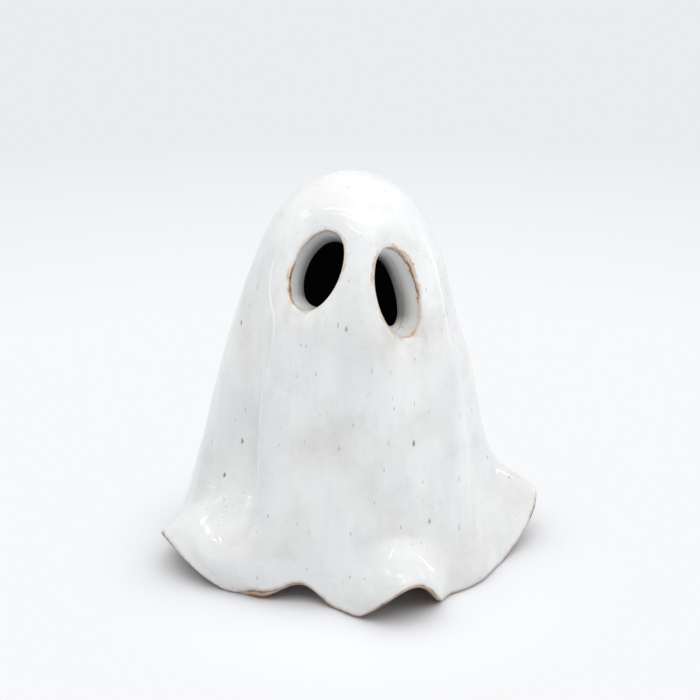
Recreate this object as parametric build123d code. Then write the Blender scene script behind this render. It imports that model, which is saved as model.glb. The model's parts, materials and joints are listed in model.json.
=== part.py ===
from build123d import *
import math
import os

os.makedirs("parts", exist_ok=True)

# Ghost shell: the draped form, in millimetres and degrees
HEIGHT = 116.5
HEAD_R = 29.7
CROWN_SQUARENESS = 5.7
CROWN_EASE = 0.15
BASE_FLARE = 7.0
FLARE_CREST = 4.0
HEAD_WALL = 8.0
FACE_WALL = 3.6
FACE_ANGLE = 3.0
FACE_SPREAD = 90.0
FACE_DOWN = 0.34
FACE_RUN = 0.32
HEM_WALL = 3.8
FOOT_GRIND = 0.6
LIFT_REACH = 0.38

# Each fold: angle from the front towards +X, half its spread, width of its crest (degrees),
# then in shares of the height: its peak, how far up and down it runs, how flat it is there,
# and how far it stands out
FOLDS = {
    "left tip": (-76, 34, 9, -0.04, 0.22, 0.03, 0.112),
    "left shelf": (-58, 25, 25, 0.08, 0.13, 0.13, 0.085),
    "left ridge": (-42, 24, 13, 0.36, 0.48, 0.48, 0.044),
    "left valley": (-68, 24, 24, 0.34, 0.32, 0.32, -0.036),
    "left flank": (-116, 74, 74, 0.0, 0.97, 0.17, 0.146),
    "left arch": (-18, 20, 20, 0.0, 0.22, 0.07, -0.020),
    "knee": (22, 28, 28, -0.04, 0.23, 0.04, 0.117),
    "right front": (58, 40, 40, 0.0, 0.51, 0.09, 0.030),
    "right ridge": (62, 24, 13, 0.36, 0.48, 0.48, 0.040),
    "right valley": (80, 16, 16, 0.33, 0.28, 0.28, -0.026),
    "right tip": (103, 36, 9, 0.0, 0.36, 0.0, 0.060),
    "right shelf": (98, 34, 16, 0.0, 0.18, 0.12, 0.028),
    "right flank": (126, 68, 68, 0.0, 0.97, 0.07, 0.133),
    "back right": (175, 32, 20, 0.0, 0.60, 0.0, 0.0515),
    "back left": (-160, 32, 20, 0.0, 0.60, 0.0, 0.060),
}

# Each place where the hem rises off the table: angle, half its spread, width of its crest (degrees),
# and its rise as a share of the height
LIFTS = {
    "left tip": (-75, 22, 6, 0.107),
    "left back": (-100, 30, 20, 0.0515),
    "left foot": (-49, 14, 14, -0.007),
    "left arch": (-25, 21, 21, 0.058),
    "knee": (22, 22, 15, 0.098),
    "right tip": (104, 26, 6, 0.107),
    "right back": (122, 26, 18, 0.034),
    "back right": (175, 24, 15, 0.043),
    "back left": (-158, 26, 16, 0.0515),
}

# Eyes: angle from the front, then height, half length and half width in shares of the height,
# the lean of the top towards +X, and how far the knife was turned outwards and dropped from square
# to the wall (degrees)
EYES = {
    "left": (-22.0, 0.81, 0.0996, 0.0567, 16.0, -3.0, 0.0),
    "right": (29.0, 0.76, 0.1064, 0.0558, -6.0, 5.0, 2.0),
}
EYE_TAPER = 0.18
EYE_NARROW = 0.03
EYE_CUT_OUT = 9.0
EYE_CUT_IN = 15.0

# Rings down the outside, steps round the lip, and points around each ring
RING_COUNT = 22
LIP_COUNT = 6
POINT_COUNT = 90

# Tea light cup
CUP_R = 19.0
CUP_WALL = 1.2
DISH_DEPTH = 3.1
FLAME_HOLE_R = 4.7
BASE_RECESS = 0.8
PLATE_GAP = 0.1

# Coin cell
CELL_R = 10.0
CELL_T = 3.2
CELL_CAP_R = 8.8
CELL_CAP_T = 0.25
CELL_GAP = 0.3

# Base plate, cell holder and twist-lock door
PLATE_T = 2.0
DOOR_CLEAR = 0.15
DOOR_RUN = 0.1
DOOR_FLANGE_T = 0.6
DOOR_RIM_W = 1.8
DOOR_FLOOR_T = 1.5
DOOR_TURN = 40.0
LUG_COUNT = 3
LUG_OUT = 1.2
LUG_W = 5.0
LUG_T = 0.8
LUG_CLEAR = 0.2
STOP_W = 1.0
COIN_SLOT_L = 12.0
COIN_SLOT_W = 1.8
COIN_SLOT_DEEP = 0.7
GALLERY_WALL = 1.1
SHELF_T = 1.1
SPRING_ROOM = 1.5
ROOF_T = 1.2

# Lamp and flame
LED_R = 2.5
LED_FLANGE_R = 2.9
LED_FLANGE_T = 1.0
LED_H = 8.6
LED_PITCH = 2.54
LEG = 0.5
SEAT_H = 1.2
COLLAR_H = 2.4
COLLAR_WALL = 1.4
LED_CLEAR = 0.3
FLAME_FLANGE_T = 1.2
FLAME_FLANGE_W = 0.9
FLAME_CLEAR = 0.2
FLAME_H = 23.0
FLAME_BORE_H = 17.0

# Strips and switch
STRIP_T = 0.25
STRIP_CLEAR = 0.15
POSITIVE_W = 3.0
NEGATIVE_X = (1.0, 3.6)
TERMINAL_X = (-3.6, 0.2)
SWITCH_TRAVEL = 3.0
KNOB_L = 3.0
KNOB_SHARE = 0.42
KNOB_SHORT = 0.5
SLIDER_L = 5.2
SLIDER_SHARE = 0.58
SLIDER_T = 0.8
SLIDE_CLEAR = 0.1
WIPER_REACH = 1.6
WIPER_GAP = 0.05

# Screws
SCREW_R = 0.65
SCREW_HEAD_R = 1.1
POST_R = 1.4
SCREW_L = 7.0
SCREW_HEAD_T = 1.0
SCREW_CLEAR = 0.05


def turn_between(angle, other):
    """The turn from one angle to another, between -180 and 180 degrees."""
    return (angle - other + 180.0) % 360.0 - 180.0


def bell(offset, half_spread, crest):
    """A smooth bump: 1 in the middle, 0 from half its spread outwards."""
    reach = math.hypot(half_spread, crest) - crest
    share = (math.hypot(offset, crest) - crest) / reach
    return max(0.0, 1.0 - share) ** 2


def form(angle, t):
    """Radius and height of the shell's outside, from the crown at t = 0 to the hem at t = 1."""
    hem_height = HEM_WALL / 2 - FOOT_GRIND
    drop = (1 + CROWN_EASE) * t * t / (t + CROWN_EASE)
    rise = 1 - drop
    height = rise * HEIGHT
    r = HEAD_R * math.sqrt(max(0.0, 1 - max(0.0, rise) ** CROWN_SQUARENESS))
    r += BASE_FLARE * bell(height, HEIGHT, FLARE_CREST)
    for middle, spread, crest, peak, run, flat, reach in FOLDS.values():
        around = bell(turn_between(angle, middle), spread, crest)
        r += HEIGHT * reach * around * bell(rise - peak, run, flat)
    lift = sum(HEIGHT * up * bell(turn_between(angle, middle), spread, crest)
               for middle, spread, crest, up in LIFTS.values())
    z = hem_height + (HEIGHT - hem_height) * rise + lift * bell(rise, LIFT_REACH, 0.0)
    return r, z


def slope(angle, t):
    """Unit direction down the outside at one point, in its upright plane."""
    step = 0.002
    r0, z0 = form(angle, t - step)
    r1, z1 = form(angle, min(t + step, 1.0))
    length = math.hypot(r1 - r0, z1 - z0)
    return (r1 - r0) / length, (z1 - z0) / length


def wall(angle, t):
    """Wall thickness, full in the head and thin at the hem, with more clay behind the face."""
    face = bell(turn_between(angle, FACE_ANGLE), FACE_SPREAD, FACE_SPREAD)
    face *= bell(t - FACE_DOWN, FACE_RUN, FACE_RUN)
    return HEM_WALL + (HEAD_WALL - HEM_WALL) * (1 - t) + FACE_WALL * face


def section(angle, t, swing):
    """One point of the shell's section: swing 0 is outside, 180 inside, between them the lip."""
    r, z = form(angle, t)
    down_r, down_z = slope(angle, t)
    out_r, out_z = -down_z, down_r
    half = wall(angle, t) / 2
    side = half * math.cos(math.radians(swing)) - half
    end = half * math.sin(math.radians(swing))
    r += out_r * side + down_r * end
    z += out_z * side + down_z * end
    turned = math.radians(angle)
    return Vector(r * math.sin(turned), -r * math.cos(turned), z)


def ring_wire(t, swing):
    """A closed curve round the shell at one station of its section."""
    share = [i / POINT_COUNT for i in range(POINT_COUNT + 1)]
    points = [section(180.0 + 360.0 * s, t, swing) for s in share[:-1]]
    return Wire([Edge.make_spline(points, periodic=True, parameters=share)])


def egg_wire(plane, half_long, half_wide, lean):
    """An eye's outline on a plane, its top leaning towards the plane's x axis."""
    outline = plane * Rot(0, 0, -lean) * Ellipse(half_wide, half_long)
    return outline.wire()


def eye_cutter(angle, height_share, long_share, wide_share, lean, turn, dip):
    """A tapered plug along the knife's direction, longer at the front than at the back."""
    low, high = 0.0, 1.0
    for _ in range(40):
        t = (low + high) / 2
        if form(angle, t)[1] > height_share * HEIGHT:
            low = t
        else:
            high = t
    centre = section(angle, t, 0.0)
    down_r, down_z = slope(angle, t)
    turned = math.radians(angle + turn)
    rise = math.atan2(down_r, -down_z) - math.radians(dip)
    outward = Vector(math.cos(rise) * math.sin(turned), -math.cos(rise) * math.cos(turned), math.sin(rise))
    across = Vector(math.cos(turned), math.sin(turned), 0)
    wires = []
    for shift in (EYE_CUT_OUT, -EYE_CUT_IN):
        plane = Plane(origin=centre + outward * shift, x_dir=across, z_dir=outward)
        half_long = long_share * HEIGHT + EYE_TAPER * shift
        half_wide = wide_share * HEIGHT + EYE_NARROW * shift
        wires.append(egg_wire(plane, half_long, half_wide, lean))
    return Solid.make_loft(wires, True)


def disc(r, low, high):
    """An upright round block between two heights."""
    seat = (Align.CENTER, Align.CENTER, Align.MIN)
    return Pos(0, 0, low) * Cylinder(r, high - low, align=seat)


def tube(r_out, r_in, low, high):
    """An upright ring between two heights."""
    return disc(r_out, low, high) - disc(r_in, low, high)


def block(x, y, z):
    """A box between pairs of limits."""
    middle = Pos((x[0] + x[1]) / 2, (y[0] + y[1]) / 2, (z[0] + z[1]) / 2)
    return middle * Box(x[1] - x[0], y[1] - y[0], z[1] - z[0])


def spoke(r_in, r_out, width, low, high, angle):
    """A box that runs out from the axis at an angle."""
    return Rot(0, 0, angle) * block((r_in, r_out), (-width / 2, width / 2), (low, high))


def turned_solid(points):
    """A solid of revolution from radius and height points."""
    face = make_face(Polyline([(r, 0, z) for r, z in points], close=True))
    return revolve(face, Axis.Z, 360)


def strip_outline(path, thickness):
    """Corner points of a bent strip whose middle line is the path."""
    sides = ([], [])
    for i, (a, b) in enumerate(path):
        before = path[max(i - 1, 0)]
        after = path[min(i + 1, len(path) - 1)]
        into = (a - before[0], b - before[1]) if i else (after[0] - a, after[1] - b)
        out = (after[0] - a, after[1] - b) if i < len(path) - 1 else into
        normals = [(-v / math.hypot(u, v), u / math.hypot(u, v)) for u, v in (into, out)]
        mean = (normals[0][0] + normals[1][0], normals[0][1] + normals[1][1])
        scale = thickness / (mean[0] ** 2 + mean[1] ** 2)
        sides[0].append((a + mean[0] * scale, b + mean[1] * scale))
        sides[1].append((a - mean[0] * scale, b - mean[1] * scale))
    return sides[0] + sides[1][::-1]


def strip_in_y(path, thickness, x_low, x_high):
    """A bent strip drawn in the Y and Z plane, with its width along X."""
    outline = strip_outline(path, thickness)
    face = make_face(Polyline([(x_low, y, z) for y, z in outline], close=True))
    return extrude(face, x_high - x_low, dir=(1, 0, 0))


def strip_in_x(path, thickness, y_low, y_high):
    """A bent strip drawn in the X and Z plane, with its width along Y."""
    outline = strip_outline(path, thickness)
    face = make_face(Polyline([(x, y_low, z) for x, z in outline], close=True))
    return extrude(face, y_high - y_low, dir=(0, 1, 0))


# Ghost shell: down the outside, round the hem's lip, up the inside
down = [(1 - math.cos(math.pi * i / RING_COUNT)) / 2 for i in range(1, RING_COUNT + 1)]
stations = [(t, 0.0) for t in down]
stations += [(1.0, 180.0 * i / LIP_COUNT) for i in range(1, LIP_COUNT)]
stations += [(t, 180.0) for t in reversed(down)]
shell = Solid.make_loft([ring_wire(t, swing) for t, swing in stations])
below = block((-2 * HEIGHT, 2 * HEIGHT), (-2 * HEIGHT, 2 * HEIGHT), (-HEIGHT, 0))
shell = shell - below
for eye in EYES.values():
    shell = shell - eye_cutter(*eye)
box = shell.bounding_box()
stand = Pos(-box.center().X, -box.center().Y, 0)

# Heights inside the tea light, from the table up
plate_low = BASE_RECESS
plate_top = plate_low + PLATE_T
ledge_low = plate_low + DOOR_FLANGE_T + DOOR_RUN
lug_low = plate_top + DOOR_RUN
lug_top = lug_low + LUG_T
cell_low = lug_top
cell_top = cell_low + CELL_T
shelf_low = lug_top + LUG_CLEAR
shelf_top = shelf_low + SHELF_T
roof_low = cell_top + SPRING_ROOM
roof_top = roof_low + ROOF_T
lamp_seat = roof_top + SEAT_H
collar_top = roof_top + COLLAR_H
dish_low = collar_top + FLAME_FLANGE_T
dish_top = dish_low + CUP_WALL
cup_top = dish_top + DISH_DEPTH

# Radii inside the tea light
cup_in = CUP_R - CUP_WALL
plate_r = cup_in - PLATE_GAP
holder_in = CELL_R + CELL_GAP
holder_out = holder_in + GALLERY_WALL
door_hole = holder_in + CELL_GAP
door_r = door_hole - DOOR_CLEAR
lug_r = door_hole + LUG_OUT
gallery_in = lug_r + LUG_CLEAR
gallery_out = gallery_in + GALLERY_WALL
collar_in = LED_FLANGE_R + LED_CLEAR
collar_out = collar_in + COLLAR_WALL

# The switch and the screws share the room between the lug gallery and the cup's wall
rim_room = cup_in - gallery_out
rim_mid = gallery_out + rim_room / 2
knob_w = KNOB_SHARE * rim_room
slider_w = SLIDER_SHARE * rim_room

# Cup: outer wall, rounded rim, dished top with the flame's hole, and two screw posts
rim_in = CUP_R - 1.3 * CUP_WALL
dish_r = 0.68 * CUP_R
cup = turned_solid([
    (cup_in, 0), (CUP_R, 0), (CUP_R, cup_top - 0.6), (CUP_R - 0.6, cup_top), (rim_in, cup_top),
    (dish_r, dish_top), (FLAME_HOLE_R, dish_top), (FLAME_HOLE_R, dish_low), (dish_r, dish_low),
    (rim_in - 0.5, cup_top - 1.6), (cup_in, cup_top - 1.6),
])
under_dish = turned_solid([
    (0, 0), (CUP_R - 0.6, 0), (CUP_R - 0.6, cup_top - 0.8), (rim_in - 0.1, cup_top - 0.8),
    (dish_r, dish_top - 0.6), (0, dish_top - 0.6),
])
for side in (1, -1):
    post = Pos(side * rim_mid, 0, 0) * disc(POST_R, plate_top, cup_top)
    cup = cup + (post & under_dish)
for side in (1, -1):
    pilot = disc(SCREW_R + SCREW_CLEAR, plate_top - 1, plate_low + SCREW_HEAD_T + SCREW_L + 0.5)
    cup = cup - Pos(side * rim_mid, 0, 0) * pilot

# Base plate: disc, door ledge, lug gallery, cell holder, lamp seat and collar
base = disc(plate_r, plate_low, plate_top) - disc(door_hole, plate_low - 1, plate_top + 1)
base = base - disc(lug_r + DOOR_CLEAR, plate_low - 1, ledge_low)
base = base + tube(gallery_out, gallery_in, plate_top, shelf_low)
base = base + tube(gallery_out, holder_in, shelf_low, shelf_top)
base = base + tube(holder_out, holder_in, shelf_top, roof_low)
base = base + disc(holder_out, roof_low, roof_top)
base = base + disc(collar_out, roof_top, lamp_seat)
base = base + tube(collar_out, collar_in, lamp_seat, collar_top)
stop_turn = math.degrees(math.asin((LUG_W + STOP_W) / 2 / door_hole)) + 0.6
for i in range(LUG_COUNT):
    shut = 90.0 + 360.0 * i / LUG_COUNT
    notch = spoke(door_hole - 1, gallery_in + 1, LUG_W + 2 * LUG_CLEAR, ledge_low - 0.2,
                  plate_top + DOOR_RUN, shut - DOOR_TURN)
    base = base - (notch & disc(gallery_in, plate_low, plate_top))
    for angle in (shut + stop_turn, shut - DOOR_TURN - stop_turn):
        stop = spoke(door_hole + 0.2, gallery_in + 0.4, STOP_W, plate_top, shelf_low, angle)
        base = base + stop

# Openings of the base plate: screw holes, switch slot, strip slots and leg channels
for side in (1, -1):
    at = Pos(side * rim_mid, 0, 0)
    base = base - at * disc(SCREW_R + 2 * SCREW_CLEAR, plate_low - 1, plate_top + 1)
    base = base - at * disc(SCREW_HEAD_R + DOOR_CLEAR, plate_low - 1, plate_low + SCREW_HEAD_T + 0.1)
slot_x = (KNOB_L + SWITCH_TRAVEL) / 2 + SLIDE_CLEAR
slot_y = knob_w / 2 + SLIDE_CLEAR
base = base - block((-slot_x, slot_x), (rim_mid - slot_y, rim_mid + slot_y),
                    (plate_low - 1, plate_top + 1))
strip_x = CELL_R + STRIP_T / 2
base = base - block((CELL_R - 0.4, CELL_R + STRIP_T + 2 * STRIP_CLEAR),
                    (-POSITIVE_W / 2 - STRIP_CLEAR, POSITIVE_W / 2 + STRIP_CLEAR),
                    (shelf_top - 0.7, roof_top + 1))
leaf_y = CELL_R * 0.65
base = base - block((NEGATIVE_X[0] - STRIP_CLEAR, NEGATIVE_X[1] + STRIP_CLEAR),
                    (leaf_y - STRIP_T / 2 - STRIP_CLEAR, leaf_y + STRIP_T / 2 + STRIP_CLEAR),
                    (roof_low - 1, roof_top + 1))
leg_x = LED_PITCH / 2
base = base - block((leg_x - LEG, collar_out + 1), (-LEG, LEG), (roof_top, lamp_seat))
base = base - block((-leg_x - LEG, -leg_x + LEG), (-LEG, collar_out + 1), (roof_top, lamp_seat))

# Screws: pan heads with a cross recess
screws = []
head_low = plate_low + 0.1
head_top = head_low + SCREW_HEAD_T
for side in (1, -1):
    screw = disc(SCREW_HEAD_R, head_low, head_top) + disc(SCREW_R, head_top, head_top + SCREW_L)
    for arm in (0, 90):
        recess_l = 0.65 * SCREW_HEAD_R
        screw = screw - spoke(-recess_l, recess_l, 0.27 * SCREW_HEAD_R, head_low, head_low + 0.5, arm)
    screws.append(stand * Pos(side * rim_mid, 0, 0) * screw)

# Coin cell: can below, cap above
cell = disc(CELL_R, cell_low, cell_top - CELL_CAP_T) + disc(CELL_CAP_R, cell_low, cell_top)

# Door: flange in the plate's counterbore, body in its hole, lugs over its ledge, coin slot below
door = disc(lug_r, plate_low, plate_low + DOOR_FLANGE_T) + disc(door_r, plate_low, lug_top)
door = door - disc(door_r - DOOR_RIM_W, plate_low + DOOR_FLOOR_T, lug_top + 1)
for i in range(LUG_COUNT):
    lug = spoke(door_r - DOOR_RIM_W / 2, lug_r + 1, LUG_W, lug_low, lug_top, 90.0 + 360.0 * i / LUG_COUNT)
    door = door + (lug & disc(lug_r, lug_low, lug_top))
door = door - block((-COIN_SLOT_L / 2, COIN_SLOT_L / 2), (-COIN_SLOT_W / 2, COIN_SLOT_W / 2),
                    (plate_low - 1, plate_low + COIN_SLOT_DEEP))

# Lamp: flanged lens with a domed end
lens = disc(LED_FLANGE_R, lamp_seat, lamp_seat + LED_FLANGE_T)
lens = lens + disc(LED_R, lamp_seat, lamp_seat + LED_H - LED_R)
lens = lens + Pos(0, 0, lamp_seat + LED_H - LED_R) * Sphere(LED_R)

# Lamp legs and contact strips
run = roof_top + STRIP_T + LEG / 2
drop_y = holder_out + 0.45
anode = strip_in_x([(leg_x, lamp_seat), (leg_x, run), (CELL_R * 0.92, run)], LEG, -LEG / 2, LEG / 2)
cathode = strip_in_y([(0, lamp_seat), (0, run), (drop_y, run), (drop_y, shelf_top + STRIP_T)],
                     LEG, -leg_x - LEG / 2, -leg_x + LEG / 2)
on_roof = roof_top + STRIP_T / 2
on_shelf = shelf_top + STRIP_T / 2
positive = strip_in_x([(CELL_R * 0.66, on_roof), (strip_x, on_roof), (strip_x, shelf_top - 0.3)],
                      STRIP_T, -POSITIVE_W / 2, POSITIVE_W / 2)
strip_end = rim_mid + knob_w / 2 + 0.2
negative = strip_in_y([
    (strip_end, on_shelf), (drop_y, on_shelf), (drop_y, on_roof), (leaf_y, on_roof),
    (leaf_y, roof_low - STRIP_T / 2), (0.35 * CELL_R, roof_low - STRIP_T / 2),
    (-0.26 * CELL_R, cell_top + STRIP_T / 2), (-0.40 * CELL_R, cell_top + STRIP_T / 2),
    (-0.52 * CELL_R, cell_top + SPRING_ROOM * 0.4),
], STRIP_T, *NEGATIVE_X)
terminal = block(TERMINAL_X, (holder_out + 0.2, strip_end), (shelf_top, shelf_top + STRIP_T))

# Switch: stored off, at the left end of its slot
off = Pos(-SWITCH_TRAVEL / 2, rim_mid, 0)
slider_low = plate_top + SLIDE_CLEAR
slider_top = slider_low + SLIDER_T
knob = block((-KNOB_L / 2, KNOB_L / 2), (-knob_w / 2, knob_w / 2), (plate_low - KNOB_SHORT, slider_low))
knob = knob + block((-SLIDER_L / 2, SLIDER_L / 2), (-slider_w / 2, slider_w / 2),
                    (slider_low, slider_top))
for x in (-0.23 * KNOB_L, 0.23 * KNOB_L):
    knob = knob - block((x - 0.2, x + 0.2), (-knob_w, knob_w),
                        (plate_low - 1, plate_low - KNOB_SHORT + 0.4))
knob = off * knob
crest = shelf_top - WIPER_GAP - STRIP_T / 2
foot = slider_top + STRIP_T / 2
wiper = off * strip_in_x([
    (-WIPER_REACH - 0.8, crest - 0.5), (-WIPER_REACH - 0.3, crest), (-WIPER_REACH + 0.3, crest),
    (-0.8, foot), (0.8, foot),
    (WIPER_REACH - 0.3, crest), (WIPER_REACH + 0.3, crest), (WIPER_REACH + 0.8, crest - 0.5),
], STRIP_T, -knob_w / 2, knob_w / 2)

# Flame: flange under the cup's top, hollow over the lamp, drawn to a point
flame_r = FLAME_HOLE_R - FLAME_CLEAR
bore_r = collar_in - 0.1
flange_r = FLAME_HOLE_R + FLAME_FLANGE_W
flame_top = dish_low + FLAME_H
bore_top = collar_top + FLAME_BORE_H
outside = Spline([
    (flame_r, 0, dish_top + 1.0), (flame_r, 0, dish_top + 0.22 * FLAME_H),
    (flame_r * 0.82, 0, dish_top + 0.45 * FLAME_H), (flame_r * 0.45, 0, dish_top + 0.70 * FLAME_H),
    (0, 0, flame_top),
], tangents=[(0, 0, 1), (-0.25, 0, 1)])
inside = Spline([
    (0, 0, bore_top), (bore_r * 0.55, 0, collar_top + 0.80 * FLAME_BORE_H),
    (bore_r, 0, collar_top + 0.52 * FLAME_BORE_H),
], tangents=[(1, 0, -0.2), (0, 0, -1)])
rest = Polyline([
    (bore_r, 0, collar_top + 0.52 * FLAME_BORE_H), (bore_r, 0, collar_top), (flange_r, 0, collar_top),
    (flange_r, 0, dish_low), (flame_r, 0, dish_low), (flame_r, 0, dish_top + 1.0),
])
axis_line = Line((0, 0, flame_top), (0, 0, bore_top))
flame = revolve(make_face([rest, outside, axis_line, inside]), Axis.Z, 360)

# One file for each piece, all in the shared frame
export_step(stand * shell, "parts/ghost_shell.step")
export_step(stand * cup, "parts/candle_cup.step")
export_step(stand * flame, "parts/flame_tip.step")
export_step(stand * lens, "parts/led_lens.step")
export_step(stand * anode, "parts/led_anode_leg.step")
export_step(stand * cathode, "parts/led_cathode_leg.step")
export_step(stand * base, "parts/base_plate.step")
export_step(Compound(screws), "parts/base_screws.step")
export_step(stand * cell, "parts/battery_cell.step")
export_step(stand * door, "parts/battery_door.step")
export_step(stand * positive, "parts/positive_contact.step")
export_step(stand * negative, "parts/negative_contact.step")
export_step(stand * terminal, "parts/switch_terminal.step")
export_step(stand * knob, "parts/switch_knob.step")
export_step(stand * wiper, "parts/switch_wiper.step")
print("frame shift", round(stand.position.X, 3), round(stand.position.Y, 3))
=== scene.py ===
# %% [markdown]
# # A glazed stoneware ghost over a battery tea light
# The ghost is one pot: a slab of speckled clay draped over a rounded form, with two eyes cut through
# its wall, glazed white and fired. A small battery candle stands inside it.
# The candle's pieces come from the CAD frame with their real shapes and get their finishes here.
# The ghost's skin is modelled again, because a draped, hand-smoothed and glazed wall with soft eye
# rims is finer than the plain CAD solid that stands for it in the physics.

# %% Load the CAD frame
import json
import math

import bpy
import numpy as np
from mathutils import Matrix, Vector


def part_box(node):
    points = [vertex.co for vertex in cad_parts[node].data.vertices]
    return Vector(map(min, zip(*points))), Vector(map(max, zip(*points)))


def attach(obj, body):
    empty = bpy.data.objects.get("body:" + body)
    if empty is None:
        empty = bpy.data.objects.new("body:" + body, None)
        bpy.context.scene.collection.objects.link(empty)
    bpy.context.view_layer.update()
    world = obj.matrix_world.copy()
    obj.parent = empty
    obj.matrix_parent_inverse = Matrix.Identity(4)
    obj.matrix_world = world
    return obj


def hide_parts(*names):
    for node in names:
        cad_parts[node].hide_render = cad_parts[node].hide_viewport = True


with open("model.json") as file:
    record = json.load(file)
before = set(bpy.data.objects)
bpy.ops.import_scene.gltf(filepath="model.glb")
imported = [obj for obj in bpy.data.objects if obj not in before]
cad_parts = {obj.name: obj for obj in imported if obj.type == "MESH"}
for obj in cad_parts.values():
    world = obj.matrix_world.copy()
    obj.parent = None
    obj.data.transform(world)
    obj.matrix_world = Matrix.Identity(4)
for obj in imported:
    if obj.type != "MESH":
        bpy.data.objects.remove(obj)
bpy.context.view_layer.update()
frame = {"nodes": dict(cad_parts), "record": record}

MM = 0.001
shell_low, shell_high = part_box("ghost_shell")
cup_low, cup_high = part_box("candle_cup")
axis_x, axis_y = ((cup_low + cup_high) / 2).xy
print("dome axis", round(axis_x / MM, 3), round(axis_y / MM, 3), "mm")

# %% [markdown]
# ## The drape
# The wet slab hangs from a round head, flares towards the table and stands in folds. It could be
# sculpted, but a formula keeps all of it in two short tables, as the CAD solid does. Most numbers are
# the solid's own. Some folds are a few millimetres fuller or deeper here, where the gloss shows it.
# A fold is a smooth bump in the radius, with a width in degrees around the axis and a run down the
# height. A lift is a place where the hem rises off the table. Angles count from the front towards +X,
# other numbers are shares of the height.

# %% Sizes of the drape
# The crown is a dome, squarer than a ball, with its rows spread by CROWN_EASE. The wall is thickest at the
# head and behind the face, where FACE_DOWN and FACE_RUN are shares of the way from crown to hem.
HEIGHT = shell_high.z
HEAD_R = 29.7 * MM
CROWN_SQUARENESS = 5.7
CROWN_EASE = 0.15
BASE_FLARE = 7.0 * MM
FLARE_CREST = 4.0 * MM
HEAD_WALL = 8.0 * MM
FACE_WALL = 3.6 * MM
FACE_ANGLE = 3.0
FACE_SPREAD = 90.0
FACE_DOWN = 0.34
FACE_RUN = 0.32
HEM_WALL = 3.8 * MM
FOOT_GRIND = 0.6 * MM
LIFT_REACH = 0.38

# around the axis: angle, half spread and crest width; up the height: peak, run and crest; and the reach
FOLDS = {
    "left tip": (-76, 32, 10, -0.04, 0.22, 0.03, 0.112),
    "left shelf": (-57, 27, 27, 0.105, 0.115, 0.115, 0.092),
    "left skirt": (-55, 26, 26, 0.0, 0.12, 0.06, 0.028),
    "left ridge": (-38, 20, 11, 0.36, 0.48, 0.48, 0.055),
    "left valley": (-64, 25, 25, 0.29, 0.27, 0.27, -0.066),
    "left flank": (-116, 74, 74, 0.0, 0.97, 0.17, 0.146),
    "left side": (-110, 52, 52, 0.47, 0.43, 0.43, 0.0225),
    "left arch": (-18, 20, 20, 0.0, 0.22, 0.07, -0.020),
    "knee left": (12, 20, 20, 0.030, 0.125, 0.125, 0.070),
    "knee right": (27, 21, 21, 0.030, 0.125, 0.125, 0.069),
    "right front": (58, 40, 40, 0.0, 0.51, 0.09, 0.030),
    "right skirt": (69, 23, 23, 0.0, 0.14, 0.07, 0.024),
    "right ridge": (57, 22, 13, 0.36, 0.48, 0.48, 0.042),
    "right valley": (80, 16, 16, 0.33, 0.28, 0.28, -0.026),
    "right side": (100, 58, 58, 0.42, 0.29, 0.29, 0.017),
    "right tip": (103, 36, 9, 0.0, 0.36, 0.0, 0.060),
    "right shelf": (98, 34, 16, 0.0, 0.18, 0.12, 0.028),
    "right flank": (126, 68, 68, 0.0, 0.97, 0.07, 0.133),
    "back right": (175, 32, 20, 0.0, 0.60, 0.0, 0.0515),
    "back left": (-160, 32, 20, 0.0, 0.60, 0.0, 0.060),
}

# angle, half spread, crest width and rise of the hem
LIFTS = {
    "left tip": (-75, 22, 6, 0.107),
    "left back": (-100, 30, 20, 0.0515),
    "left foot": (-49, 14, 14, -0.007),
    "left arch": (-24.5, 19, 19, 0.049),
    "knee": (21.3, 20.5, 14, 0.083),
    "right tip": (104, 26, 6, 0.107),
    "right back": (122, 26, 18, 0.034),
    "back right": (175, 24, 15, 0.043),
    "back left": (-158, 26, 16, 0.0515),
}
print(len(FOLDS), "folds and", len(LIFTS), "lifts in", round(HEIGHT / MM, 1), "mm of height")

# %% The drape's formula
def turn_between(angle, other):
    """The turn from one angle to another, between -180 and 180 degrees."""
    return (angle - other + 180.0) % 360.0 - 180.0


def bell(offset, half_spread, crest):
    """A smooth bump: 1 in the middle, 0 from half its spread outwards."""
    reach = math.hypot(half_spread, crest) - crest
    share = (np.hypot(offset, crest) - crest) / reach
    return np.maximum(0.0, 1.0 - share) ** 2


def outside(angle, t):
    """Radius and height of the outside, from the crown at t = 0 to the hem at t = 1."""
    hem_height = HEM_WALL / 2 - FOOT_GRIND
    rise = 1 - (1 + CROWN_EASE) * t * t / (t + CROWN_EASE)
    r = HEAD_R * np.sqrt(np.maximum(0.0, 1 - np.maximum(0.0, rise) ** CROWN_SQUARENESS))
    r = r + BASE_FLARE * bell(rise * HEIGHT, HEIGHT, FLARE_CREST)
    for middle, spread, crest, peak, run, flat, reach in FOLDS.values():
        around = bell(turn_between(angle, middle), spread, crest)
        r = r + HEIGHT * reach * around * bell(rise - peak, run, flat)
    lift = sum(HEIGHT * up * bell(turn_between(angle, middle), spread, crest)
               for middle, spread, crest, up in LIFTS.values())
    return r, hem_height + (HEIGHT - hem_height) * rise + lift * bell(rise, LIFT_REACH, 0.0)


def down_the_wall(angle, t):
    """Unit direction down the outside, as its parts away from the axis and upwards."""
    step = 0.002
    r0, z0 = outside(angle, np.abs(t - step))
    r0 = r0 * np.sign(t - step)
    r1, z1 = outside(angle, np.minimum(t + step, 1.0))
    length = np.hypot(r1 - r0, z1 - z0)
    return (r1 - r0) / length, (z1 - z0) / length


def wall(angle, t):
    """Thickness of the clay: even from crown to hem, with more behind the face."""
    face = bell(turn_between(angle, FACE_ANGLE), FACE_SPREAD, FACE_SPREAD)
    face = face * bell(t - FACE_DOWN, FACE_RUN, FACE_RUN)
    return HEM_WALL + (HEAD_WALL - HEM_WALL) * (1 - t) + FACE_WALL * face


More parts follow.
